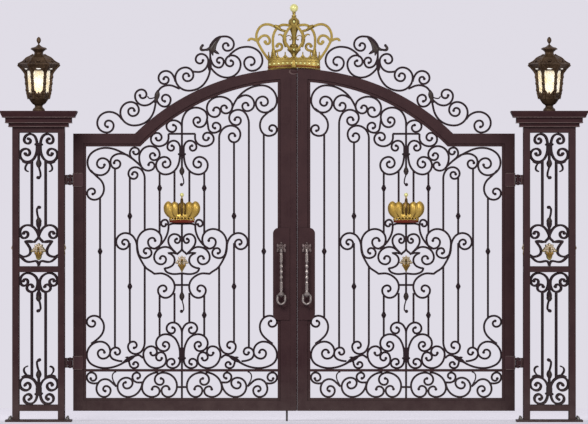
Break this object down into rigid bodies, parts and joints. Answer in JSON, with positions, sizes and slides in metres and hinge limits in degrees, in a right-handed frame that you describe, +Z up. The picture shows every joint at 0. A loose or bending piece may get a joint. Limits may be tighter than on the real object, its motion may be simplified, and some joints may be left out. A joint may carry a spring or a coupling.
{
  "type": "wrought iron driveway gate",
  "caption": "Arched double driveway gate of wrought iron with scrollwork, a gold crown, open scrolled posts and post lanterns; both leaves swing and a drop bolt slides.",
  "frame": {"origin": "underside centre of the left post's base plate", "axes": "+X along the gate to the right post, +Y to the yard side where the leaves open, +Z up"},
  "size_m": [4.514, 0.59, 3.213],
  "materials": {
    "frame_brown": "satin dark brown paint, weathered",
    "iron_dark": "satin near-black paint",
    "gold_paint": "rubbed gold over dark iron",
    "worn_pewter": "brown pewter with bright worn edges",
    "aged_bronze": "antique bronze",
    "amber_glass": "hammered amber glass",
    "bare_steel": "bare steel"
  },
  "bodies": {
    "posts": {"left_base_plate": "frame_brown", "left_corner_posts": "frame_brown", "left_hinge_brackets": "iron_dark", "left_lantern_body": "aged_bronze", "left_lantern_foot": "aged_bronze", "left_lantern_glass": "amber_glass", "left_lantern_roof": "aged_bronze", "left_pillar_cap": "frame_brown", "left_pillar_rails": "frame_brown", "left_pillar_rosettes": "gold_paint", "left_pillar_scrolls": "iron_dark", "right_base_plate": "frame_brown", "right_corner_posts": "frame_brown", "right_hinge_brackets": "iron_dark", "right_lantern_body": "aged_bronze", "right_lantern_foot": "aged_bronze", "right_lantern_glass": "amber_glass", "right_lantern_roof": "aged_bronze", "right_pillar_cap": "frame_brown", "right_pillar_rails": "frame_brown", "right_pillar_rosettes": "gold_paint", "right_pillar_scrolls": "iron_dark"},
    "left_leaf": {"bolt_guides": "bare_steel", "gate_crown": "gold_paint", "left_bars": "iron_dark", "left_bottom_rail": "frame_brown", "left_centre_scrolls": "iron_dark", "left_crest_scrolls": "iron_dark", "left_handle_plate": "frame_brown", "left_hinge_stile": "iron_dark", "left_hinge_straps": "iron_dark", "left_lock_stile": "frame_brown", "left_lower_scrolls": "iron_dark", "left_mid_rail": "frame_brown", "left_plinth_scrolls": "iron_dark", "left_pull_handle": "worn_pewter", "left_rosette": "gold_paint", "left_small_crown": "gold_paint", "left_top_rail": "frame_brown", "left_top_scrolls": "iron_dark", "meeting_strip": "frame_brown"},
    "right_leaf": {"right_bars": "iron_dark", "right_bottom_rail": "frame_brown", "right_centre_scrolls": "iron_dark", "right_crest_scrolls": "iron_dark", "right_handle_plate": "frame_brown", "right_hinge_stile": "iron_dark", "right_hinge_straps": "iron_dark", "right_lock_stile": "frame_brown", "right_lower_scrolls": "iron_dark", "right_mid_rail": "frame_brown", "right_plinth_scrolls": "iron_dark", "right_pull_handle": "worn_pewter", "right_rosette": "gold_paint", "right_small_crown": "gold_paint", "right_top_rail": "frame_brown", "right_top_scrolls": "iron_dark"},
    "drop_bolt": {"drop_bolt": "bare_steel"}
  },
  "joints": [
    {"name": "left_leaf_hinge", "type": "hinge", "parent": "posts", "child": "left_leaf", "pos_m": [0.238, 0.175, 0], "axis": [0, 0, 1], "range_deg": [0, 90]},
    {"name": "right_leaf_hinge", "type": "hinge", "parent": "posts", "child": "right_leaf", "pos_m": [3.686, 0.175, 0], "axis": [0, 0, -1], "range_deg": [0, 90]},
    {"name": "drop_bolt_slide", "type": "slide", "parent": "left_leaf", "child": "drop_bolt", "axis": [0, 0, 1], "range_m": [0, 0.11]}
  ]
}
